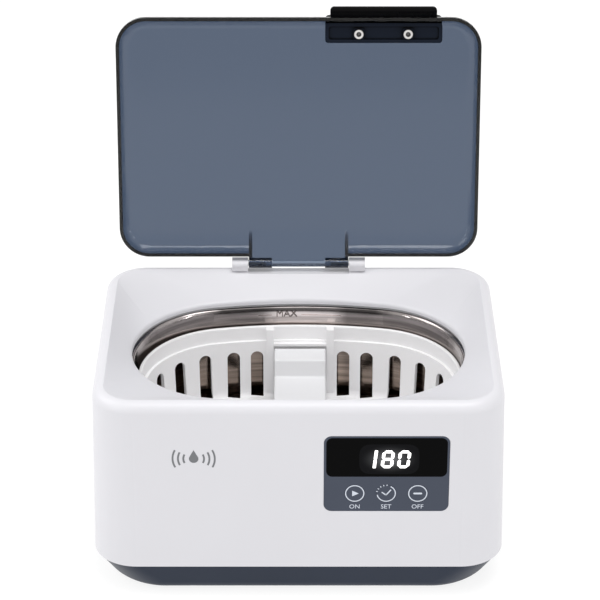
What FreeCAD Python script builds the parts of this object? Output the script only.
import FreeCAD, Part
import math
import os
import re
import Sketcher

DOC = FreeCAD.newDocument("ultrasonic_cleaner")
V = FreeCAD.Vector
LEFT_RIGHT = (-1, 1)
CORNERS = ((1, 1), (-1, 1), (-1, -1), (1, -1))
VENTS = 6
END_SLOTS = 10
DRAIN_ROWS = 3
HANDLE_SCREWS = ("handle_left", "handle_right")
KEYS = (0, 1, 2)
KEY_NAMES = ("on_key", "set_key", "off_key")
WINDOW_MIDDLE = ("fascia_x", "window_low_z - fascia_low_z + window_height / 2")
PIECES = []

# ---------------------------------------------------------------- driving sizes (mm)
# The frame stands on z = 0, +Z up, the front faces -Y and x = 0 is the middle of the housing.
SIZES = {
    # housing
    "foot_lift": 1.2,
    "base_height": 16.8,
    "body_width": 200.0,
    "body_depth": 146.2,
    "body_top": 109.45,
    "draft_deg": 1.22,
    "corner_radius": 20.0,
    "wall": 2.4,
    "crown_radius": 5.2,
    "ridge_inset": 5.4,
    "dish_depth": 9.8,
    # the four-centre oval shared by the opening, the tank and the basket
    "oval_end_x": 35.0,
    "oval_end_radius": 49.0,
    "oval_half_width": 52.4,
    "oval_y": -1.0,
    # tank
    "tank_gap": 1.0,
    "tank_wall": 0.8,
    "tank_floor_z": 38.0,
    "tank_corner": 9.0,
    # basket
    "basket_gap": 1.9,
    "basket_shift": 0.8,
    "basket_wall": 1.8,
    "basket_rim_z": 86.2,
    "basket_step_z": 78.3,
    "basket_floor_z": 44.5,
    "slot_width": 6.6,
    "slot_top_z": 72.4,
    # lid
    "lid_width": 187.6,
    "lid_depth": 127.4,
    "lid_corner": 15.5,
    "lid_height": 9.0,
    "lid_wall": 1.8,
    "lid_edge": 7.0,
    "lid_open_deg": 100.3,
    "hinge_y": 69.2,
    "hinge_z": 112.3,
    "hinge_pin_radius": 1.5,
    "hinge_clearance": 0.08,
    "tongue_half": 26.2,
    "lug_inner": 26.6,
    "lug_outer": 35.0,
    # fascia
    "fascia_x": 42.7,
    "fascia_width": 60.8,
    "fascia_low_z": 50.3,
    "fascia_height": 42.1,
    "fascia_corner": 3.8,
    "fascia_thick": 2.0,
    "window_width": 58.5,
    "window_corner": 3.0,
    "window_height": 21.6,
    "window_low_z": 69.8,
    "key_radius": 4.9,
    "key_pitch": 15.33,
    "key_z": 60.3,
    "key_gap": 0.1,
    # hinge lugs, seats, bosses and screws
    "lug_depth": 8.0,
    "lug_root_z": 101.0,
    "lug_top_z": 114.4,
    "lug_round": 2.2,
    "relief_depth": 1.6,
    "fascia_ledge": 3.0,
    "opening_round": 1.6,
    "boss_x": 78.0,
    "boss_y": 52.0,
    "boss_radius": 4.2,
    "boss_low_z": 22.0,
    "boss_top_z": 107.6,
    "screw_core": 1.3,
    "screw_radius": 1.5,
    "screw_head": 2.8,
    "head_thick": 1.8,
    "well_radius": 5.0,
    "well_depth": 14.0,
    "screw_reach": 22.0,
    "clamp_x": 65.0,
    "clamp_y": 54.5,
    "clamp_face_z": 95.1,
    "post_radius": 3.6,
    "post_top_z": 107.0,
    # lid details
    "lid_low_z": 109.7,
    "lid_rear_y": 65.0,
    "tongue_run": 12.0,
    "knuckle_radius": 2.7,
    "knuckle_length": 12.2,
    "bar_deep": 2.2,
    "bar_tall": 4.4,
    "pin_start": 17.0,
    "pin_stop": 1.5,
    # handle
    "tab_x": 43.75,
    "tab_width": 54.9,
    "tab_depth": 17.6,
    "tab_front_y": -66.3,
    "tab_base_front": -61.8,
    "tab_corner": 2.0,
    "tab_thick": 2.6,
    "handle_screw_y": -53.3,
    "handle_screw_radius": 1.2,
    "handle_core": 1.0,
    "handle_head": 2.35,
    "handle_head_thick": 1.7,
    "socket_radius": 1.3,
    "socket_deep": 1.3,
    "handle_left": 30.9,
    "handle_right": 56.2,
    "bracket_width": 60.1,
    "bracket_front_y": -58.9,
    "bracket_root_y": -54.9,
    "bracket_back_y": -48.5,
    "bracket_thick": 1.7,
    "bracket_face": 1.6,
    "bracket_border": 1.8,
    "bracket_bed": 1.0,
    "bracket_corner": 1.6,
    "boss_square": 5.6,
    # front panel stack
    "window_thick": 1.2,
    "key_back": 0.6,
    "key_round": 0.12,
    "key_flange": 1.0,
    "flange_thick": 0.8,
    "stem_radius": 1.6,
    "stem_length": 1.4,
    "panel_board_depth": 9.4,
    "panel_screw_x": 33.0,
    "panel_board_width": 72.8,
    "panel_board_height": 38.2,
    "led_width": 32.0,
    "led_height": 14.5,
    "led_shift": 2.0,
    "switch_size": 6.0,
    "led_tall": 6.8,
    "switch_tall": 4.2,
    "inlet_deep": 16.0,
    "pin_radius": 1.2,
    # tank fittings and drive
    "flange_z": 95.9,
    "flange_out": 5.0,
    "seal_thick": 1.2,
    "tank_lip": 2.2,
    "clamp_reach": 16.0,
    "clamp_back": 5.0,
    "clamp_width": 10.0,
    "clamp_thick": 1.8,
    "piezo_radius": 22.5,
    "piezo_thick": 2.6,
    "plate_thick": 2.0,
    "solder_long": 5.0,
    "solder_wide": 4.0,
    "solder_thick": 0.4,
    "solder_x": 11.5,
    "post_grip": 5.5,
    # basket details
    "basket_step": 1.4,
    "basket_taper_deg": 3.0,
    "basket_round": 6.0,
    "rim_round": 0.6,
    "rib_x": 15.8,
    "rib_width": 3.9,
    "rib_face_y": 44.3,
    "rib_back_y": 49.4,
    "rib_top_z": 85.9,
    "ledge_z": 77.4,
    "ledge_thick": 1.5,
    "first_slot_x": 22.7,
    "slot_deep_y": 42.0,
    "slot_deep_r": 41.0,
    "drain_x": 27.0,
    "drain_pitch": 14.0,
    "drain_y": 15.0,
    "drain_length": 20.0,
    # watch rest
    "rest_half": 43.9,
    "rest_width": 27.0,
    "rest_low_z": 46.8,
    "rest_top_z": 75.6,
    "rest_saddle_z": 67.3,
    "rest_shelf": 13.0,
    "rest_slope": 3.2,
    "rest_round": 1.2,
    "rest_wall": 2.0,
    "rest_toe": 4.5,
    # base tray and feet
    "tray_top": 18.0,
    "tray_step": 0.6,
    "post_width": 6.0,
    "tray_inset": 4.2,
    "tray_corner": 36.0,
    "tray_cavity_inset": 5.2,
    "tray_belly": 6.5,
    "foot_x": 68.0,
    "foot_y": 44.0,
    "foot_radius": 6.5,
    "foot_seat": 1.2,
    # rear inlet and vents
    "inlet_x": -62.0,
    "inlet_z": 34.0,
    "inlet_width": 21.0,
    "inlet_height": 12.5,
    "inlet_wall": 1.5,
    "inlet_flange": 5.0,
    "inlet_flange_thick": 1.8,
    "inlet_pin_x": 4.2,
    "vent_x": 28.0,
    "vent_pitch": 6.0,
    "vent_width": 2.6,
    "vent_height": 16.0,
    # driver board
    "board_x": -6.0,
    "board_y": 6.0,
    "board_length": 128.0,
    "board_width": 80.0,
    "board_thick": 1.6,
    "board_low_z": 9.0,
    "board_hole_x": 59.0,
    "board_hole_y": 35.0,
    "board_grip": 4.8,
    "choke_ring": 7.5,
    "choke_wire": 3.2,
    "choke_x": -24.0,
    "choke_y": -22.0,
    "can_radius": 8.0,
    "can_tall": 17.0,
    "can_x": -22.0,
    "can_y": 30.0,
    "fuse_radius": 2.6,
    "fuse_long": 20.0,
    "fuse_x": -58.0,
    "fuse_y": -24.0,
}

# length, width, height, left edge, front edge and rise above the driver board's face
BOARD_BLOCKS = {
    "core_front": (22.0, 6.0, 17.0, -58.0, -8.0, 0.0),
    "core_back": (22.0, 6.0, 17.0, -58.0, 12.0, 0.0),
    "core_yoke": (22.0, 14.0, 6.0, -58.0, -2.0, 11.0),
    "winding": (20.0, 13.4, 10.6, -57.0, -1.7, 0.0),
    "film_left": (7.0, 15.0, 11.0, 0.0, 20.0, 0.0),
    "film_right": (7.0, 15.0, 11.0, 10.0, 20.0, 0.0),
    "sink": (3.0, 34.0, 17.0, 34.0, -12.0, 0.0),
    "chip_front": (4.4, 10.0, 14.0, 37.0, -10.0, 0.0),
    "chip_back": (4.4, 10.0, 14.0, 37.0, 6.0, 0.0),
    "bridge": (15.0, 4.5, 13.0, -48.0, 36.0, 0.0),
    "header": (5.0, 14.0, 7.0, 48.0, -24.0, 0.0),
}
BOARD_SIDES = ("long", "wide", "tall", "x", "y", "up")
BOARD_FACE = "board_low_z + board_thick"
for part, values in BOARD_BLOCKS.items():
    SIZES.update({f"{part}_{side}": value for side, value in zip(BOARD_SIDES, values)})

SHEET = DOC.addObject("Spreadsheet::Sheet", "sizes")
for row, (alias, value) in enumerate(SIZES.items(), start=1):
    SHEET.set(f"A{row}", alias)
    SHEET.set(f"B{row}", str(value))
    SHEET.setAlias(f"B{row}", alias)
DOC.recompute()


# ---------------------------------------------------------------- sheet expressions
def linked(text):
    """An expression whose size names point at the sheet."""
    return re.sub(r"[a-z][a-z_]+", lambda m: "sizes." + m[0] if m[0] in SIZES else m[0], str(text))


def number(text):
    """The value of an expression written in size names."""
    return float(SHEET.evalExpression(linked(text)))


def bind(item, prop, text):
    item.setExpression(prop, linked(text))


# ---------------------------------------------------------------- sketches
def sketch_on(body, plane, lift="0", shift="0"):
    """A sketch on one of the body's own origin planes, moved along the plane's normal and its up axis."""
    sketch = body.newObject("Sketcher::SketchObject", body.Name + "_sketch")
    origin = next(f for f in body.Origin.OriginFeatures if f.Role == plane + "_Plane")
    sketch.AttachmentSupport = [(origin, "")]
    sketch.MapMode = "FlatFace"
    bind(sketch, ".AttachmentOffset.Base.z", lift)
    bind(sketch, ".AttachmentOffset.Base.y", shift)
    return sketch


def front_sketch(body, inward="0"):
    """A sketch parallel to the drafted front face, its zero height at fascia_low_z."""
    face = "body_depth / 2 + (body_top - fascia_low_z) * tan(draft_deg * 1deg)"
    sketch = sketch_on(body, "XZ", f"{face} - ({inward}) * cos(draft_deg * 1deg)",
                       f"fascia_low_z - ({inward}) * sin(draft_deg * 1deg)")
    angle = -number("draft_deg")
    offset = sketch.AttachmentOffset
    sketch.AttachmentOffset = FreeCAD.Placement(offset.Base, FreeCAD.Rotation(V(1, 0, 0), angle))
    return sketch


def datum(sketch, name, constraint, text):
    """A dimension bound to the sheet."""
    index = sketch.addConstraint(constraint)
    sketch.renameConstraint(index, name)
    bind(sketch, ".Constraints." + name, text)


def rounded_rectangle(sketch, width, height, radius, at=("0", "0"), tag="a"):
    """A rectangle with round corners, centred on at."""
    w, h, r = number(width) / 2, number(height) / 2, number(radius)
    cx, cy = number(at[0]), number(at[1])
    corners = [(w - r, -h + r, -90), (w - r, h - r, 0), (-w + r, h - r, 90), (-w + r, -h + r, 180)]
    arcs, lines = [], []
    for x, y, start in corners:
        centre = V(cx + x, cy + y, 0)
        circle = Part.Circle(centre, V(0, 0, 1), r)
        low, high = math.radians(start), math.radians(start + 90)
        arcs.append(sketch.addGeometry(Part.ArcOfCircle(circle, low, high), False))
    for i in range(4):
        a = sketch.Geometry[arcs[i]].EndPoint
        b = sketch.Geometry[arcs[(i + 1) % 4]].StartPoint
        lines.append(sketch.addGeometry(Part.LineSegment(a, b), False))
    for i in range(4):
        sketch.addConstraint(Sketcher.Constraint("Tangent", arcs[i], 2, lines[i], 1))
        sketch.addConstraint(Sketcher.Constraint("Tangent", lines[i], 2, arcs[(i + 1) % 4], 1))
        sketch.addConstraint(Sketcher.Constraint(("Vertical", "Horizontal")[i % 2], lines[i]))
    for i in (1, 2, 3):
        sketch.addConstraint(Sketcher.Constraint("Equal", arcs[0], arcs[i]))
    datum(sketch, "radius_" + tag, Sketcher.Constraint("Radius", arcs[0], r), radius)
    spots = [("right", "X", lines[0], cx + w, f"{at[0]} + ({width}) / 2"),
             ("top", "Y", lines[1], cy + h, f"{at[1]} + ({height}) / 2"),
             ("left", "X", lines[2], cx - w, f"{at[0]} - ({width}) / 2"),
             ("bottom", "Y", lines[3], cy - h, f"{at[1]} - ({height}) / 2")]
    for side, letter, line, value, text in spots:
        rule = Sketcher.Constraint("Distance" + letter, -1, 1, line, 1, value)
        datum(sketch, f"{side}_{tag}", rule, text)
    return sketch


def rectangle(sketch, width, height, at=("0", "0"), tag="a"):
    """A rectangle with sharp corners, centred on at."""
    w, h = number(width) / 2, number(height) / 2
    cx, cy = number(at[0]), number(at[1])
    points = [V(cx + x * w, cy + y * h, 0) for x, y in ((-1, -1), (1, -1), (1, 1), (-1, 1))]
    lines = []
    for i in range(4):
        lines.append(sketch.addGeometry(Part.LineSegment(points[i], points[(i + 1) % 4]), False))
    for i in range(4):
        sketch.addConstraint(Sketcher.Constraint("Coincident", lines[i], 2, lines[(i + 1) % 4], 1))
        sketch.addConstraint(Sketcher.Constraint(("Horizontal", "Vertical")[i % 2], lines[i]))
    for name, letter, vertex, value, text in (
            ("left", "X", 0, cx - w, f"{at[0]} - ({width}) / 2"),
            ("right", "X", 2, cx + w, f"{at[0]} + ({width}) / 2"),
            ("low", "Y", 0, cy - h, f"{at[1]} - ({height}) / 2"),
            ("high", "Y", 2, cy + h, f"{at[1]} + ({height}) / 2")):
        rule = Sketcher.Constraint("Distance" + letter, -1, 1, lines[vertex], 1, value)
        datum(sketch, f"{name}_{tag}", rule, text)
    return sketch


def circle(sketch, radius, at=("0", "0"), tag="a"):
    """A circle placed from the sketch's origin."""
    centre = V(number(at[0]), number(at[1]), 0)
    ring = sketch.addGeometry(Part.Circle(centre, V(0, 0, 1), number(radius)), False)
    datum(sketch, "radius_" + tag, Sketcher.Constraint("Radius", ring, number(radius)), radius)
    for letter, value, text in (("X", centre.x, at[0]), ("Y", centre.y, at[1])):
        rule = Sketcher.Constraint("Distance" + letter, -1, 1, ring, 3, value)
        datum(sketch, f"at{letter}_{tag}", rule, text)
    return sketch


def outline(sketch, corners, tag="p"):
    """A closed polygon whose corners are pairs of expressions."""
    points = [V(number(a), number(b), 0) for a, b in corners]
    count = len(points)
    lines = []
    for i in range(count):
        lines.append(sketch.addGeometry(Part.LineSegment(points[i], points[(i + 1) % count]), False))
    for i, (a, b) in enumerate(corners):
        sketch.addConstraint(Sketcher.Constraint("Coincident", lines[i - 1], 2, lines[i], 1))
        for letter, value, text in (("X", points[i].x, a), ("Y", points[i].y, b)):
            rule = Sketcher.Constraint("Distance" + letter, -1, 1, lines[i], 1, value)
            datum(sketch, f"at{letter}{i}_{tag}", rule, text)
    return sketch


def oval(sketch, inset="0", tag="a"):
    """The cleaner's four-centre oval, moved inwards by inset; its centres stay where they are."""
    ex, er, half = number("oval_end_x"), number("oval_end_radius"), number("oval_half_width")
    cy, d = number("oval_y"), number(inset)
    drop = (ex ** 2 - (half - er) ** 2) / (2 * (half - er))
    side = drop + half - d
    lean = math.degrees(math.atan2(drop, ex))
    parts = [(0, -drop, side, lean, 180 - lean), (-ex, 0, er - d, 180 - lean, 180 + lean),
             (0, drop, side, 180 + lean, 360 - lean), (ex, 0, er - d, -lean, lean)]
    arcs = []
    for x, y, r, start, stop in parts:
        ring = Part.Circle(V(x, y + cy, 0), V(0, 0, 1), r)
        arc = Part.ArcOfCircle(ring, math.radians(start), math.radians(stop))
        arcs.append(sketch.addGeometry(arc, False))
    for i in range(4):
        sketch.addConstraint(Sketcher.Constraint("Tangent", arcs[i], 2, arcs[(i + 1) % 4], 1))
    for i, text in ((1, "-oval_end_x"), (3, "oval_end_x")):
        across = Sketcher.Constraint("DistanceX", -1, 1, arcs[i], 3, number(text))
        datum(sketch, f"endx{i}_{tag}", across, text)
        along = Sketcher.Constraint("DistanceY", -1, 1, arcs[i], 3, cy)
        datum(sketch, f"endy{i}_{tag}", along, "oval_y")
    side_drop = "(pow(oval_end_x; 2) - pow(oval_half_width - oval_end_radius; 2))"
    side_drop += " / (2 * (oval_half_width - oval_end_radius))"
    text = f"oval_end_radius - ({inset})"
    datum(sketch, "end_" + tag, Sketcher.Constraint("Radius", arcs[3], er - d), text)
    for i in (0, 2):
        rise = (1 - i) * drop
        rule = Sketcher.Constraint("DistanceY", -1, 1, arcs[i], 3, cy - rise)
        datum(sketch, f"side{i}_{tag}", rule, f"oval_y - ({1 - i}) * {side_drop}")
    return sketch


# ---------------------------------------------------------------- features
def new_body(name, own=True):
    """A PartDesign body, which is a sub-part of its own unless it joins a group."""
    body = DOC.addObject("PartDesign::Body", name)
    if own:
        PIECES.append(body)
    return body


def extrude(kind, body, sketch, length, back=False, taper=None):
    """A Pad or Pocket of the sketch, along its normal or back against it."""
    before = body.Tip.Shape.Volume if kind == "Pocket" else 0.0
    feature = body.newObject("PartDesign::" + kind, body.Name + "_" + kind.lower())
    feature.Profile = sketch
    feature.Reversed = back
    bind(feature, "Length", length)
    if taper:
        bind(feature, "TaperAngle", taper)
    body.Tip = feature
    DOC.recompute()
    if kind == "Pocket" and feature.Shape.Volume > before - 1e-6:
        raise ValueError(feature.Name + " cuts nothing")
    return feature


def pad(body, sketch, length, back=False, taper=None):
    return extrude("Pad", body, sketch, length, back, taper)


def pocket(body, sketch, length, back=False, taper=None):
    return extrude("Pocket", body, sketch, length, back, taper)


def fillet(body, radius, wanted):
    """A fillet on the tip's edges that the test wanted picks."""
    base = body.Tip
    names = [f"Edge{i}" for i, edge in enumerate(base.Shape.Edges, 1) if wanted(edge)]
    feature = body.newObject("PartDesign::Fillet", body.Name + "_fillet")
    feature.Base = (base, names)
    bind(feature, "Radius", radius)
    body.Tip = feature
    DOC.recompute()
    return feature


def at_height(text, slack=0.01):
    """A test for edges that lie in one level plane."""
    z = number(text)
    return lambda e: abs(e.BoundBox.ZMin - z) < slack and abs(e.BoundBox.ZMax - z) < slack


def keep(item):
    """Lists a finished sub-part for writing."""
    PIECES.append(item)
    return item


def block(name, extent, low=("0", "0", "0")):
    """A Part::Box from its three sizes and its lowest corner."""
    box = DOC.addObject("Part::Box", name)
    for prop, text in zip(("Length", "Width", "Height"), extent):
        bind(box, prop, text)
    if low != ("0", "0", "0"):
        for letter, text in zip("xyz", low):
            bind(box, ".Placement.Base." + letter, text)
    return box


def rod(name, radius, length, low, along="z"):
    """A Part::Cylinder from its low end, along an axis."""
    turn = {"x": (V(0, 1, 0), 90), "y": (V(1, 0, 0), -90), "z": (V(0, 0, 1), 0)}[along]
    cylinder = DOC.addObject("Part::Cylinder", name)
    cylinder.Placement = FreeCAD.Placement(V(0, 0, 0), FreeCAD.Rotation(*turn))
    bind(cylinder, "Radius", radius)
    bind(cylinder, "Height", length)
    for letter, text in zip("xyz", low):
        bind(cylinder, ".Placement.Base." + letter, text)
    return cylinder


def fused(name, shapes):
    item = DOC.addObject("Part::MultiFuse", name)
    item.Shapes = shapes
    return item


def together(name, shapes):
    """Separate solids that share one sub-part."""
    item = DOC.addObject("Part::Compound", name)
    item.Links = shapes
    return keep(item)


def cut(name, base, tool):
    item = DOC.addObject("Part::Cut", name)
    item.Base = base
    item.Tool = tool
    return item


def screw(name, spot, seat, reach, up=True):
    """A screw with its head against the level seat and its shank running reach up or down from there."""
    shank_z, head_z = (seat, f"{seat} - head_thick") if up else (f"{seat} - ({reach})", seat)
    shank = rod(name + "_shank", "screw_core", reach, (*spot, shank_z))
    head = rod(name + "_head", "screw_head", "head_thick", (*spot, head_z))
    return fused(name, [shank, head])


# ---------------------------------------------------------------- housing
def eight_edges(body, plane_z, points):
    """A closed sketch of lines and arcs through (start, middle, end) triples, each taken from the sheet."""
    sketch = sketch_on(body, "XY", plane_z)
    for start, middle, end in points:
        if middle is None:
            sketch.addGeometry(Part.LineSegment(V(*start), V(*end)), False)
        else:
            sketch.addGeometry(Part.Arc(V(*start), V(*middle), V(*end)), False)
    count = len(points)
    for i in range(count):
        sketch.addConstraint(Sketcher.Constraint("Coincident", i, 2, (i + 1) % count, 1))
        sketch.addConstraint(Sketcher.Constraint("Block", i))
    return sketch


def corner_edges(width, depth, radius):
    """A rectangle with round corners as four sides and four corners, for eight_edges."""
    w, d, r = number(width) / 2, number(depth) / 2, number(radius)
    corners = []
    for i, (sx, sy) in enumerate(((1, 1), (-1, 1), (-1, -1), (1, -1))):
        cx, cy = sx * (w - r), sy * (d - r)
        turns = (math.radians(90 * i + turn) for turn in (0, 45, 90))
        corners.append([(cx + r * math.cos(t), cy + r * math.sin(t), 0) for t in turns])
    edges = []
    for i, corner in enumerate(corners):
        edges.append((corners[i - 1][2], None, corner[0]))
        edges.append(tuple(corner))
    return edges


def dish_top(inset):
    """The dish's upper outline: the ridge's inner line, moved inwards by inset."""
    shrink = f"2 * (ridge_inset + ({inset}))"
    return corner_edges(f"body_width - {shrink}", f"body_depth - {shrink}", f"corner_radius - {shrink} / 2")


def dish_bottom(inset):
    """The dish's lower outline: the oval, moved inwards by inset, in eight arcs that pair with dish_top."""
    ex, cy = number("oval_end_x"), number("oval_y")
    er = number(f"oval_end_radius - ({inset})")
    half = number(f"oval_half_width - ({inset})")
    drop = (ex ** 2 - (half - er) ** 2) / (2 * (half - er))
    lean = math.degrees(math.atan2(drop, ex))
    split = lean * 0.42

    def end_point(sign, angle):
        turn = math.radians(angle)
        return (sign * (ex + er * math.cos(turn)), cy + er * math.sin(turn), 0)

    edges = []
    for low, high, sign in ((-split, split, 1), (split, lean, 1)):
        edges.append(tuple(end_point(sign, t) for t in (low, (low + high) / 2, high)))
    edges.append((end_point(1, lean), (0, cy + half, 0), end_point(-1, lean)))
    for low, high in ((lean, split), (split, -split), (-split, -lean)):
        edges.append(tuple(end_point(-1, t) for t in (low, (low + high) / 2, high)))
    edges.append((end_point(-1, -lean), (0, cy - half, 0), end_point(1, -lean)))
    edges.append(tuple(end_point(1, t) for t in (-lean, -(lean + split) / 2, -split)))
    return edges


def loft(kind, body, upper, lower):
    feature = body.newObject("PartDesign::" + kind, body.Name + "_" + kind.lower())
    feature.Profile = upper
    feature.Sections = [lower]
    body.Tip = feature
    DOC.recompute()
    return feature


def both_sides(feature):
    """Makes a Pad or Pocket grow evenly on both sides of its sketch."""
    feature.SideType = "Symmetric"
    DOC.recompute()
    return feature


def add_hinge_lugs(body):
    """Two upright lugs on the rear crown, a relief for the lid's tongue and blind holes for the pins."""
    for side in LEFT_RIGHT:
        middle = f"{side} * (lug_inner + lug_outer) / 2"
        sketch = sketch_on(body, "YZ", middle)
        at = ("hinge_y", "(lug_root_z + lug_top_z) / 2")
        rounded_rectangle(sketch, "lug_depth", "lug_top_z - lug_root_z", "lug_round", at)
        both_sides(pad(body, sketch, "lug_outer - lug_inner"))
    relief = sketch_on(body, "XY", "body_top + 1")
    rectangle(relief, "2 * lug_inner", "lug_depth + 6", ("0", "hinge_y + 1.2"))
    pocket(body, relief, "1 + relief_depth")
    pins = circle(sketch_on(body, "YZ"), "hinge_pin_radius", ("hinge_y", "hinge_z"))
    both_sides(pocket(body, pins, "2 * (lug_outer - pin_stop)"))


def add_fascia_seat(body):
    """The recess that the fascia lies in, with a window through to the display board."""
    middle = ("fascia_x", "fascia_height / 2")
    seat = front_sketch(body)
    rounded_rectangle(seat, "fascia_width + 0.2", "fascia_height + 0.2", "fascia_corner + 0.1", middle)
    pocket(body, seat, "fascia_thick")
    window = front_sketch(body)
    rim = "2 * fascia_ledge"
    rounded_rectangle(window, f"fascia_width - {rim}", f"fascia_height - {rim}", "2", middle)
    pocket(body, window, "wall + 6")


def add_bosses(body):
    """Screw columns in the four corners, and four short posts under the deck that hold the tank clamps."""
    for i, (sx, sy) in enumerate(CORNERS):
        spot = (f"{sx} * boss_x", f"{sy} * boss_y")
        column = circle(sketch_on(body, "XY", "boss_low_z"), "boss_radius", spot)
        pad(body, column, "boss_top_z - boss_low_z")
        hole = circle(sketch_on(body, "XY", "boss_low_z"), "screw_core", spot)
        pocket(body, hole, "screw_reach - 2", back=True)
    for sx, sy in CORNERS:
        spot = (f"{sx} * clamp_x", f"{sy} * clamp_y")
        post = circle(sketch_on(body, "XY", "clamp_face_z"), "post_radius", spot)
        pad(body, post, "post_top_z - clamp_face_z")
        hole = circle(sketch_on(body, "XY", "clamp_face_z"), "screw_core", spot)
        pocket(body, hole, "post_grip + 0.4", back=True)


def make_upper_housing():
    """The white drafted shell with a rounded crown, a dished deck and an oval opening."""
    body = new_body("upper_housing")
    top = sketch_on(body, "XY", "body_top")
    rounded_rectangle(top, "body_width", "body_depth", "corner_radius")
    height = "body_top - foot_lift - base_height"
    pad(body, top, height, back=True, taper="draft_deg")
    fillet(body, "crown_radius", at_height("body_top"))
    inside = sketch_on(body, "XY", "body_top - wall")
    rounded_rectangle(inside, "body_width - 2 * wall", "body_depth - 2 * wall", "corner_radius - wall")
    pocket(body, inside, f"{height} - wall", taper="draft_deg")
    upper = eight_edges(body, "body_top - wall", dish_top("-wall"))
    lower = eight_edges(body, "body_top - dish_depth - wall", dish_bottom("-wall"))
    loft("AdditiveLoft", body, upper, lower)
    add_bosses(body)
    add_hinge_lugs(body)
    upper = eight_edges(body, "body_top", dish_top("0"))
    lower = eight_edges(body, "body_top - dish_depth", dish_bottom("0"))
    loft("SubtractiveLoft", body, upper, lower)
    pocket(body, oval(sketch_on(body, "XY", "body_top - dish_depth")), "wall + 1")
    fillet(body, "opening_round", at_height("body_top - dish_depth"))
    add_fascia_seat(body)
    add_rear_openings(body)


def add_rear_openings(body):
    """The inlet's hole and a row of upright vents in the rear wall."""
    behind = "-body_depth / 2 + wall + 2"
    inlet = sketch_on(body, "XZ", behind)
    rounded_rectangle(inlet, "inlet_width", "inlet_height", "inlet_height / 2 - 0.1", ("inlet_x", "inlet_z"))
    pocket(body, inlet, "wall + 6")
    vents = sketch_on(body, "XZ", behind)
    for i in range(VENTS):
        spot = (f"vent_x + {i} * vent_pitch", "inlet_z")
        rounded_rectangle(vents, "vent_width", "vent_height", "vent_width / 2 - 0.05", spot, f"v{i}")
    pocket(body, vents, "wall + 6")


def make_base_tray():
    """The dark lower tray with a rounded belly, screw wells, foot seats and board posts."""
    body = new_body("base_tray")
    grow = "2 * (body_top - tray_top) * tan(draft_deg * 1deg) - 2 * tray_step"
    width, depth = f"body_width + {grow}", f"body_depth + {grow}"
    upper = eight_edges(body, "tray_top", corner_edges(width, depth, "corner_radius + 1"))
    shrink = "2 * tray_inset"
    lower = eight_edges(body, "foot_lift", corner_edges(f"{width} - {shrink}", f"{depth} - {shrink}", "tray_corner"))
    loft("AdditiveLoft", body, upper, lower)
    fillet(body, "tray_belly", at_height("foot_lift"))
    width, depth = f"{width} - 2 * wall", f"{depth} - 2 * wall"
    upper = eight_edges(body, "tray_top", corner_edges(width, depth, "corner_radius + 1 - wall"))
    lower = eight_edges(body, "foot_lift + wall",
                        corner_edges(f"{width} - 2 * tray_cavity_inset", f"{depth} - 2 * tray_cavity_inset",
                                     "tray_corner - wall"))
    loft("SubtractiveLoft", body, upper, lower)
    for sx, sy in CORNERS:
        add_tray_fixings(body, sx, sy)


def add_tray_fixings(body, sx, sy):
    """One corner's screw well, foot seat and board post."""
    def disc(lift, radius, spot):
        return circle(sketch_on(body, "XY", lift), radius, spot)

    well = (f"{sx} * boss_x", f"{sy} * boss_y")
    pad(body, disc("foot_lift", "well_radius", well), "boss_low_z - foot_lift")
    pocket(body, disc("foot_lift", "screw_head + 0.3", well), "well_depth", back=True)
    pocket(body, disc("foot_lift", "screw_radius + 0.2", well), "base_height + 4", back=True)
    seat = (f"{sx} * foot_x", f"{sy} * foot_y")
    pocket(body, disc("foot_lift", "foot_radius + 0.2", seat), "foot_seat", back=True)
    post = (f"board_x + {sx} * board_hole_x", f"board_y + {sy} * board_hole_y")
    pad(body, disc("foot_lift + wall", "post_width / 2", post), "board_low_z - foot_lift - wall")
    pocket(body, disc("board_low_z", "screw_core", post), "board_grip + 0.2")


# ---------------------------------------------------------------- tank and its drive
def make_tank():
    """The deep-drawn oval steel pan with a flat flange."""
    body = new_body("tank")
    pad(body, oval(sketch_on(body, "XY", "flange_z"), "-flange_out"), "tank_wall", back=True)
    depth = "flange_z - tank_floor_z"
    outer = oval(sketch_on(body, "XY", "flange_z"), "tank_gap - tank_wall")
    pad(body, outer, f"{depth} + tank_wall", back=True)
    pocket(body, oval(sketch_on(body, "XY", "flange_z"), "tank_gap"), depth)
    fillet(body, "tank_corner - tank_wall", at_height("tank_floor_z"))
    fillet(body, "tank_corner", at_height("tank_floor_z - tank_wall"))
    fillet(body, "tank_lip - tank_wall", lambda e: at_height("flange_z - tank_wall")(e) and inside_oval(e))
    fillet(body, "tank_lip", lambda e: at_height("flange_z")(e) and inside_oval(e))


def inside_oval(edge):
    """True for an edge of the tank's mouth, not of the flange's rim."""
    box = edge.BoundBox
    reach_x, reach_y = number("oval_end_x + oval_end_radius + 0.5"), number("oval_half_width + 0.5")
    across = max(abs(box.YMin - number("oval_y")), abs(box.YMax - number("oval_y")))
    return max(abs(box.XMin), abs(box.XMax)) < reach_x and across < reach_y


def oval_ring(name, outer, inner, top, thick):
    """A flat ring between two offsets of the oval."""
    body = new_body(name)
    sketch = sketch_on(body, "XY", top)
    oval(sketch, outer, "outer")
    oval(sketch, inner, "inner")
    pad(body, sketch, thick, back=True)


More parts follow.
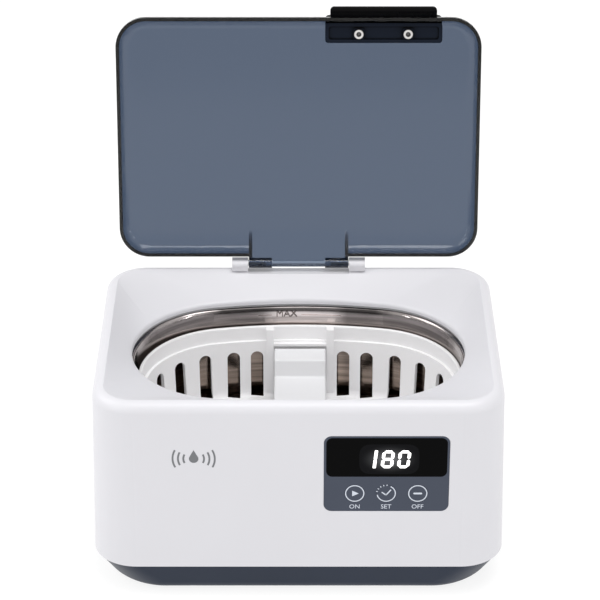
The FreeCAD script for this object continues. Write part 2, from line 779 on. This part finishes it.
def make_tank_fittings():
    """The seal above the flange, the four clamps below it and their screws."""
    oval_ring("tank_seal", "-flange_out + 0.4", "-0.6", "flange_z + seal_thick", "seal_thick")
    under = "clamp_face_z - clamp_thick"
    clamps, screws = [], []
    for i, (sx, sy) in enumerate(CORNERS):
        turn = math.degrees(math.atan2(sy * number("clamp_y"), sx * number("clamp_x - oval_end_x")))
        foot = block(f"clamp_foot_{i}", ("clamp_reach", "clamp_width", "clamp_thick"))
        spot = V(sx * number("clamp_x"), sy * number("clamp_y"), number(under))
        half = V(-number("clamp_reach - clamp_back"), -number("clamp_width") / 2, 0)
        place = FreeCAD.Placement(spot, FreeCAD.Rotation(V(0, 0, 1), turn))
        foot.Placement = place.multiply(FreeCAD.Placement(half, FreeCAD.Rotation()))
        where = (f"{sx} * clamp_x", f"{sy} * clamp_y")
        hole = rod(f"clamp_hole_{i}", "screw_radius", "clamp_thick + 2", (*where, f"{under} - 1"))
        clamps.append(cut(f"clamp_{i}", foot, hole))
        screws.append(screw(f"clamp_screw_{i}", where, under, "clamp_thick + post_grip"))
    together("tank_clamps", clamps)
    together("clamp_screws", screws)


def make_transducer():
    """The piezo disc, its bonded aluminium coupling and its two solder tabs under the tank's floor."""
    middle = ("0", "oval_y")
    plate_z = "tank_floor_z - tank_wall - plate_thick"
    piezo_z = f"{plate_z} - piezo_thick"
    keep(rod("transducer_plate", "piezo_radius + 1.5", "plate_thick", (*middle, plate_z)))
    keep(rod("piezo_disc", "piezo_radius", "piezo_thick", (*middle, piezo_z)))
    tabs = [block(f"tab_{i}", ("solder_long", "solder_wide", "solder_thick"),
                  (f"{side} * solder_x - solder_long / 2", "oval_y - solder_wide / 2",
                   f"{piezo_z} - solder_thick"))
            for i, side in enumerate(LEFT_RIGHT)]
    together("transducer_tabs", tabs)


# ---------------------------------------------------------------- basket and watch rest
def make_basket():
    """The white oval basket: a plain rim band, a step, slotted walls and a slotted floor."""
    body = new_body("basket")
    rim = oval(sketch_on(body, "XY", "basket_rim_z"), "basket_gap")
    pad(body, rim, "basket_rim_z - basket_step_z", back=True)
    low = "basket_gap + basket_step"
    wall = oval(sketch_on(body, "XY", "basket_step_z"), low)
    pad(body, wall, "basket_step_z - basket_floor_z", back=True, taper="-basket_taper_deg")
    pocket(body, oval(sketch_on(body, "XY", "basket_rim_z"), "basket_gap + basket_wall"),
           "basket_rim_z - basket_step_z")
    pocket(body, oval(sketch_on(body, "XY", "basket_step_z"), f"{low} + basket_wall"),
           "basket_step_z - basket_floor_z - basket_wall", taper="-basket_taper_deg")
    fillet(body, "basket_round - basket_wall", at_height("basket_floor_z + basket_wall"))
    fillet(body, "basket_round", at_height("basket_floor_z"))
    fillet(body, "rim_round", at_height("basket_rim_z"))
    for sx in LEFT_RIGHT:
        for sy in LEFT_RIGHT:
            add_rib(body, sx, sy)
    for sy in LEFT_RIGHT:
        ledge = sketch_on(body, "XY", "ledge_z")
        middle = ("0", f"oval_y + {sy} * (rest_half + rib_back_y) / 2")
        rectangle(ledge, "2 * rib_x", "rib_back_y - rest_half - basket_step - 0.8", middle)
        pad(body, ledge, "ledge_thick", back=True)
    add_slots(body)
    add_floor_slots(body)
    bind(body, ".Placement.Base.x", "basket_shift")


def add_rib(body, sx, sy):
    """One upright rib on the basket's long wall, its back buried in the leaning wall."""
    lean = "(basket_step_z - basket_floor_z) * tan(basket_taper_deg * 1deg)"
    foot_z = "basket_floor_z + basket_wall / 2"
    profile = [("rib_face_y", "rib_top_z"), ("rib_back_y", "rib_top_z"), ("rib_back_y", "basket_step_z"),
               ("rib_back_y - basket_step", "basket_step_z"), (f"rib_back_y - basket_step - {lean}", foot_z),
               ("rib_face_y", foot_z)]
    sketch = sketch_on(body, "YZ", f"{sx} * rib_x")
    outline(sketch, [(f"oval_y + {sy} * ({y})", z) for y, z in profile])
    both_sides(pad(body, sketch, "rib_width"))


def add_slots(body):
    """Round-topped slots all the way round, which run down through the floor's edge."""
    height = "slot_top_z - basket_floor_z + 3"
    middle = "(slot_top_z + basket_floor_z - 3) / 2"
    for sy in LEFT_RIGHT:
        wide = sketch_on(body, "XZ", f"{sy} * slot_deep_y")
        for sx in LEFT_RIGHT:
            spot = (f"{sx} * first_slot_x", middle)
            rounded_rectangle(wide, "slot_width", height, "slot_width / 2 - 0.02", spot, f"s{sx + 1}")
        pocket(body, wide, "20", back=sy > 0)
    for sx in LEFT_RIGHT:
        end = sketch_on(body, "XZ", f"{sx} * (slot_deep_r - {sx} * oval_y)")
        spot = (f"{sx} * oval_end_x", middle)
        rounded_rectangle(end, "slot_width", height, "slot_width / 2 - 0.02", spot)
        slot = pocket(body, end, "20", back=sx > 0)
        axis = sketch_on(body, "XY", "0", "oval_y")
        bind(axis, ".AttachmentOffset.Base.x", f"{sx} * oval_end_x")
        pattern = body.newObject("PartDesign::PolarPattern", f"{body.Name}_slots")
        pattern.Originals = [slot]
        pattern.Axis = (axis, ["N_Axis"])
        pattern.Angle = 180
        pattern.Occurrences = END_SLOTS
        body.Tip = pattern
        DOC.recompute()


def add_floor_slots(body):
    """Two rows of drain slots in the floor, either side of the watch rest."""
    drains = sketch_on(body, "XY", "basket_floor_z + basket_wall")
    width = "(slot_width - 1)"
    for sx in LEFT_RIGHT:
        for row in range(DRAIN_ROWS):
            for sy in LEFT_RIGHT:
                spot = (f"{sx} * (drain_x + {row} * drain_pitch)", f"oval_y + {sy} * drain_y")
                rounded_rectangle(drains, width, "drain_length", f"{width} / 2 - 0.02", spot,
                                  f"d{sx + 1}{row}{sy + 1}")
    pocket(body, drains, "basket_wall + 1")


def make_watch_rest():
    """The white saddle that stands across the basket between the ribs, hollow from below."""
    body = new_body("watch_rest")
    profile = sketch_on(body, "YZ")
    half, low, high, saddle = "rest_half", "rest_low_z", "rest_top_z", "rest_saddle_z"
    outline(profile, [(f"oval_y - ({half})", f"{low} + rest_toe"), (f"oval_y - ({half}) + rest_toe", low),
                      (f"oval_y + ({half}) - rest_toe", low), (f"oval_y + ({half})", f"{low} + rest_toe"),
                      (f"oval_y + ({half})", high),
                      (f"oval_y + ({half}) - rest_shelf", high),
                      (f"oval_y + ({half}) - rest_shelf - rest_slope", saddle),
                      (f"oval_y - ({half}) + rest_shelf + rest_slope", saddle),
                      (f"oval_y - ({half}) + rest_shelf", high), (f"oval_y - ({half})", high)])
    both_sides(pad(body, profile, "rest_width"))
    fillet(body, "rest_round", lambda e: e.BoundBox.ZMin > number("rest_low_z + rest_toe + 1"))
    hollow = sketch_on(body, "YZ")
    inset = f"({half}) - rest_toe - rest_wall"
    outline(hollow, [(f"oval_y - ({inset})", "rest_low_z - 1"), (f"oval_y + ({inset})", "rest_low_z - 1"),
                     (f"oval_y + ({inset})", "rest_saddle_z - rest_wall"),
                     (f"oval_y - ({inset})", "rest_saddle_z - rest_wall")])
    both_sides(pocket(body, hollow, "rest_width - 2 * rest_wall"))
    bind(body, ".Placement.Base.x", "basket_shift")


# ---------------------------------------------------------------- lid, built closed and then turned open
def open_lid(piece):
    """Turns a piece made with the lid closed to the lid's open place."""
    axis = V(0, number("hinge_y"), number("hinge_z"))
    turn = FreeCAD.Placement(V(0, 0, 0), FreeCAD.Rotation(V(1, 0, 0), -number("lid_open_deg")), axis)
    piece.Placement = turn.multiply(piece.Placement)


def make_lid_shell():
    """The smoke-tinted tray lid with a sloping tongue that ends in two hinge knuckles."""
    body = new_body("lid_shell")
    middle = ("0", "lid_rear_y - lid_depth / 2")
    outline_sketch = sketch_on(body, "XY", "lid_low_z")
    rounded_rectangle(outline_sketch, "lid_width", "lid_depth", "lid_corner", middle)
    pad(body, outline_sketch, "lid_height")
    inside = sketch_on(body, "XY", "lid_low_z")
    rounded_rectangle(inside, "lid_width - 2 * lid_wall", "lid_depth - 2 * lid_wall", "lid_corner - lid_wall",
                      middle)
    pocket(body, inside, "lid_height - lid_wall", back=True)
    fillet(body, "lid_edge - lid_wall", at_height("lid_low_z + lid_height - lid_wall"))
    fillet(body, "lid_edge", at_height("lid_low_z + lid_height"))
    notch = sketch_on(body, "XY", "lid_low_z + lid_height + 1")
    rectangle(notch, "2 * tongue_half", "tongue_run + 4", ("0", "lid_rear_y - tongue_run / 2 + 2"))
    pocket(body, notch, "lid_height + 2")
    panel = sketch_on(body, "YZ")
    roof, eave = "lid_low_z + lid_height", "hinge_z + knuckle_radius"
    start, stop = "lid_rear_y - tongue_run - 0.5", "hinge_y"
    outline(panel, [(start, roof), (stop, eave), (stop, f"{eave} - lid_wall"), (start, f"{roof} - lid_wall")])
    both_sides(pad(body, panel, "2 * tongue_half"))
    for side in LEFT_RIGHT:
        gusset = sketch_on(body, "YZ", f"{side} * (tongue_half - lid_wall / 2)")
        outline(gusset, [(start, f"{roof} - 0.5"), ("hinge_y", f"{eave} - 0.5"), ("hinge_y", "hinge_z"),
                         ("lid_rear_y - 1", "lid_low_z"), (start, f"{roof} - lid_wall")])
        both_sides(pad(body, gusset, "lid_wall"))
        knuckle = sketch_on(body, "YZ", f"{side} * (tongue_half - knuckle_length / 2)")
        circle(knuckle, "knuckle_radius", ("hinge_y", "hinge_z"))
        both_sides(pad(body, knuckle, "knuckle_length"))
    bar = sketch_on(body, "YZ")
    rounded_rectangle(bar, "bar_deep", "bar_tall", "0.8",
                      ("hinge_y - 0.4 + bar_deep / 2", "hinge_z + knuckle_radius - bar_tall / 2"))
    both_sides(pad(body, bar, "2 * tongue_half"))
    pins = circle(sketch_on(body, "YZ"), "hinge_pin_radius + hinge_clearance", ("hinge_y", "hinge_z"))
    both_sides(pocket(body, pins, "2 * tongue_half + 2"))
    add_handle_holes(body)
    open_lid(body)


def add_handle_holes(body):
    """Two screw holes through the lid's plate for the handle."""
    holes = sketch_on(body, "XY", "lid_low_z + lid_height + 1")
    for i, spot in enumerate(HANDLE_SCREWS):
        circle(holes, "handle_screw_radius + 0.1", (spot, "handle_screw_y"), f"h{i}")
    pocket(body, holes, "lid_wall + 3")


def make_handle():
    """The black finger tab over the lid's front edge, its inner bracket and two screws."""
    tab = new_body("handle_tab")
    top = "lid_low_z + lid_height"
    plate = sketch_on(tab, "XY", top)
    middle = ("tab_x", "tab_front_y + tab_depth / 2")
    rounded_rectangle(plate, "tab_width", "tab_depth", "tab_corner", middle)
    pad(tab, plate, "tab_thick")
    base = sketch_on(tab, "XY", top)
    rounded_rectangle(base, "bracket_width", "tab_front_y + tab_depth - tab_base_front", "tab_corner",
                      ("tab_x", "(tab_front_y + tab_depth + tab_base_front) / 2"))
    pad(tab, base, "tab_thick")
    fillet(tab, "tab_thick * 0.4", at_height(f"{top} + tab_thick"))
    for spot in HANDLE_SCREWS:
        hole = circle(sketch_on(tab, "XY", top), "handle_core", (spot, "handle_screw_y"))
        pocket(tab, hole, "tab_thick * 0.7", back=True)
    open_lid(tab)
    bracket = new_body("handle_bracket")
    roof = f"{top} - lid_wall"
    face = f"{roof} - bracket_thick - bracket_face"
    layers = (("bracket_root_y", "bracket_thick", roof),
              ("bracket_front_y", "bracket_face", f"{roof} - bracket_thick"))
    for front, thick, height in layers:
        layer = sketch_on(bracket, "XY", height)
        rounded_rectangle(layer, "bracket_width", f"bracket_back_y - {front}", "bracket_corner",
                          ("tab_x", f"({front} + bracket_back_y) / 2"))
        pad(bracket, layer, thick, back=True)
    bed = sketch_on(bracket, "XY", face)
    rounded_rectangle(bed, "bracket_width - 2 * bracket_border",
                      "bracket_back_y - bracket_front_y - 2 * bracket_border", "bracket_corner - 0.4",
                      ("tab_x", "(bracket_front_y + bracket_back_y) / 2"))
    pocket(bracket, bed, "bracket_bed", back=True)
    for spot in HANDLE_SCREWS:
        where = (spot, "handle_screw_y")
        boss = rounded_rectangle(sketch_on(bracket, "XY", face), "boss_square", "boss_square", "1", where)
        pad(bracket, boss, "bracket_bed")
        hole = circle(sketch_on(bracket, "XY", face), "handle_screw_radius + 0.1", where)
        pocket(bracket, hole, "bracket_thick + bracket_face", back=True)
    open_lid(bracket)
    make_handle_screws(face)


def make_handle_screws(face):
    """Two socket-head screws, up through the bracket and the lid into the tab."""
    head_z = f"{face} - handle_head_thick"
    screws = []
    for i, spot in enumerate(HANDLE_SCREWS):
        where = (spot, "handle_screw_y")
        reach = "bracket_thick + bracket_face + lid_wall + tab_thick * 0.65"
        shank = rod(f"handle_shank_{i}", "handle_core", reach, (*where, face))
        head = rod(f"handle_head_{i}", "handle_head", "handle_head_thick", (*where, head_z))
        socket = rod(f"handle_socket_{i}", "socket_radius", "socket_deep + 1", (*where, f"{head_z} - 1"))
        screws.append(cut(f"handle_screw_{i}", fused(f"handle_whole_{i}", [shank, head]), socket))
    open_lid(together("handle_screws", screws))


def make_hinge_pins():
    """Two short steel pins, fixed in the housing's lugs, that the lid's knuckles turn on."""
    pins = [rod(f"pin_{i}", "hinge_pin_radius", "lug_outer - pin_stop - pin_start",
                (start, "hinge_y", "hinge_z"), along="x")
            for i, start in enumerate(("pin_start", "-lug_outer + pin_stop"))]
    together("hinge_pins", pins)


# ---------------------------------------------------------------- front panel, its keys and its board
def make_fascia():
    """The slate panel that fills the front recess, cut out for the display window and the three keys."""
    body = new_body("fascia")
    middle = ("fascia_x", "fascia_height / 2")
    plate = rounded_rectangle(front_sketch(body), "fascia_width", "fascia_height", "fascia_corner", middle)
    pad(body, plate, "fascia_thick", back=True)
    seat = front_sketch(body)
    slack = "0.1"
    rounded_rectangle(seat, f"window_width + {slack}", f"window_height + {slack}", "window_corner + 0.05",
                      WINDOW_MIDDLE)
    pocket(body, seat, "window_thick")
    through = front_sketch(body)
    rounded_rectangle(through, "window_width - 6", "window_height - 6", "1.5", WINDOW_MIDDLE)
    pocket(body, through, "fascia_thick + 1")
    for i in KEYS:
        hole = circle(front_sketch(body), "key_radius + key_gap", key_middle(i))
        pocket(body, hole, "fascia_thick + 1")


def key_middle(i):
    """The middle of key i, counted from the left, on the front face."""
    return (f"fascia_x + {i - 1} * key_pitch", "key_z - fascia_low_z")


def make_display_window():
    """The black glossy window over the digits."""
    body = new_body("display_window")
    plate = front_sketch(body)
    rounded_rectangle(plate, "window_width", "window_height", "window_corner", WINDOW_MIDDLE)
    pad(body, plate, "window_thick", back=True)


def make_keys():
    """Three round keys with a flange behind the fascia and a stem towards their switch."""
    for i, name in zip(KEYS, KEY_NAMES):
        body = new_body(name)
        cap = circle(front_sketch(body), "key_radius", key_middle(i))
        pad(body, cap, "fascia_thick + key_back", back=True)
        front_y = body.Tip.Shape.BoundBox.YMin
        fillet(body, "key_round", lambda edge, front_y=front_y: edge.BoundBox.YMin < front_y + 0.25)
        depth = "fascia_thick + key_back"
        flange = circle(front_sketch(body, depth), "key_radius + key_flange", key_middle(i))
        pad(body, flange, "flange_thick", back=True)
        stem = circle(front_sketch(body, f"{depth} + flange_thick"), "stem_radius", key_middle(i))
        pad(body, stem, "stem_length", back=True)


def front_plate(name, width, height, middle, depth, thick, corner="0.8"):
    """A flat plate parallel to the front face, at a depth behind it."""
    body = new_body(name)
    pad(body, rounded_rectangle(front_sketch(body, depth), width, height, corner, middle), thick, back=True)
    return body


def make_display_board():
    """The board behind the fascia, with the three-digit display block and three tact switches on it."""
    middle = ("fascia_x", "fascia_height / 2")
    board = front_plate("display_board", "panel_board_width", "panel_board_height", middle,
                        "panel_board_depth", "board_thick")
    back = "panel_board_depth + board_thick"
    screws = []
    for i, side in enumerate(LEFT_RIGHT):
        spot = (f"fascia_x + {side} * panel_screw_x", "fascia_height / 2")
        hole = circle(front_sketch(board, "panel_board_depth"), "screw_radius", spot)
        pocket(board, hole, "board_thick + 1")
        fixing = new_body(f"panel_screw_{i}", own=False)
        pad(fixing, circle(front_sketch(fixing, back), "screw_head", spot), "head_thick", back=True)
        pad(fixing, circle(front_sketch(fixing, back), "screw_core", spot), "board_thick + 3.9")
        screws.append(fixing)
    together("display_board_screws", screws)
    front_plate("led_display_block", "led_width", "led_height", ("fascia_x + led_shift", WINDOW_MIDDLE[1]),
                "panel_board_depth - led_tall", "led_tall", "0.6")
    switches = new_body("tact_switches")
    face = front_sketch(switches, "panel_board_depth")
    for i in KEYS:
        rounded_rectangle(face, "switch_size", "switch_size", "0.5", key_middle(i), f"k{i}")
    pad(switches, face, "switch_tall")


# ---------------------------------------------------------------- driver electronics
def board_block(name, part):
    """A box standing on the driver board's face, from its own row of sizes."""
    extent = [f"{part}_{side}" for side in ("long", "wide", "tall")]
    return block(name, extent, (f"{part}_x", f"{part}_y", f"{BOARD_FACE} + {part}_up"))


def make_driver_board():
    """The driver board on its four posts and the screws that hold it."""
    plate = block("board_plate", ("board_length", "board_width", "board_thick"),
                  ("board_x - board_length / 2", "board_y - board_width / 2", "board_low_z"))
    holes, screws = [], []
    for i, (sx, sy) in enumerate(CORNERS):
        where = (f"board_x + {sx} * board_hole_x", f"board_y + {sy} * board_hole_y")
        holes.append(rod(f"board_hole_{i}", "screw_radius", "board_thick + 2", (*where, "board_low_z - 1")))
        screws.append(screw(f"board_screw_{i}", where, BOARD_FACE, "board_thick + board_grip", up=False))
    keep(cut("driver_board", plate, fused("board_holes", holes)))
    together("board_screws", screws)


def make_board_parts():
    """The parts that stand on the driver board."""
    core = [board_block(name, name) for name in ("core_front", "core_back", "core_yoke")]
    keep(fused("transformer_core", core))
    keep(board_block("transformer_winding", "winding"))
    together("film_capacitors", [board_block(name, name) for name in ("film_left", "film_right")])
    keep(board_block("heatsink", "sink"))
    together("power_transistors", [board_block(name, name) for name in ("chip_front", "chip_back")])
    keep(board_block("rectifier", "bridge"))
    keep(board_block("cable_header", "header"))
    choke = keep(DOC.addObject("Part::Torus", "output_choke"))
    bind(choke, "Radius1", "choke_ring")
    bind(choke, "Radius2", "choke_wire")
    for letter, text in zip("xyz", ("choke_x", "choke_y", f"{BOARD_FACE} + choke_wire")):
        bind(choke, ".Placement.Base." + letter, text)
    keep(rod("bulk_capacitor", "can_radius", "can_tall", ("can_x", "can_y", BOARD_FACE)))
    fuse_low = ("fuse_x", "fuse_y", f"{BOARD_FACE} + fuse_radius")
    keep(rod("fuse", "fuse_radius", "fuse_long", fuse_low, along="x"))


def make_inlet():
    """The figure-8 mains inlet in the rear wall and its two pins."""
    wall_y = "body_depth / 2 + (body_top - inlet_z) * tan(draft_deg * 1deg)"
    mouth = f"-({wall_y}) + 0.2"
    middle = ("inlet_x", "inlet_z")
    body = new_body("power_inlet")

    def layer(lift, shrink, length, cuts=False, corner=None):
        """A pad forwards from the rear, or a pocket from the mouth, smaller all round by shrink / 2."""
        width, height = f"inlet_width - ({shrink})", f"inlet_height - ({shrink})"
        sketch = sketch_on(body, "XZ", lift)
        rounded_rectangle(sketch, width, height, corner or f"({height}) / 2 - 0.1", middle)
        if cuts:
            pocket(body, sketch, length, back=True)
        else:
            pad(body, sketch, length)

    layer(mouth, "0.4", "inlet_deep")
    layer(f"{mouth} + wall + 0.1", "-inlet_flange", "inlet_flange_thick", corner="3")
    layer(mouth, "0.4 + 2 * inlet_wall", "inlet_deep - 2", cuts=True)
    pins = []
    for i, side in enumerate(LEFT_RIGHT):
        pin_x = f"inlet_x + {side} * inlet_pin_x"
        hole = circle(sketch_on(body, "XZ", mouth), "pin_radius", (pin_x, "inlet_z"))
        pocket(body, hole, "inlet_deep + 2", back=True)
        pins.append(rod(f"inlet_pin_{i}", "pin_radius", "inlet_deep + 4",
                        (pin_x, f"{wall_y} - inlet_deep - 6", "inlet_z"), along="y"))
    together("inlet_pins", pins)


def make_feet_and_screws():
    """Four rubber feet in their seats and the four long screws that hold the tray to the housing."""
    feet, screws = [], []
    for i, (sx, sy) in enumerate(CORNERS):
        feet.append(rod(f"foot_{i}", "foot_radius", "foot_seat + foot_lift",
                        (f"{sx} * foot_x", f"{sy} * foot_y", "0")))
        where = (f"{sx} * boss_x", f"{sy} * boss_y")
        screws.append(screw(f"tray_screw_{i}", where, "foot_lift + well_depth", "screw_reach"))
    together("rubber_feet", feet)
    together("housing_screws", screws)


# ---------------------------------------------------------------- checks and files
def write_parts():
    """Checks every object and writes each sub-part's shape to its own file."""
    DOC.recompute()
    failed = [item.Name for item in DOC.Objects if {"Invalid", "Error"} & set(item.State)]
    if failed:
        raise ValueError(f"these failed: {failed}")
    os.makedirs("parts", exist_ok=True)
    for piece in PIECES:
        shape = piece.Shape
        if shape.isNull() or not shape.isValid() or not shape.Solids:
            raise ValueError(piece.Label + " has no valid solid")
        shape.exportStep(f"parts/{piece.Label}.step")
        print(f"{piece.Label}: {len(shape.Solids)} solids, {shape.Volume:.0f} mm3")


# ---------------------------------------------------------------- the whole cleaner
def main():
    make_upper_housing()
    make_base_tray()
    make_feet_and_screws()
    make_inlet()
    make_tank()
    make_tank_fittings()
    make_transducer()
    make_driver_board()
    make_board_parts()
    make_fascia()
    make_display_window()
    make_keys()
    make_display_board()
    make_lid_shell()
    make_handle()
    make_hinge_pins()
    make_basket()
    make_watch_rest()
    write_parts()


main()
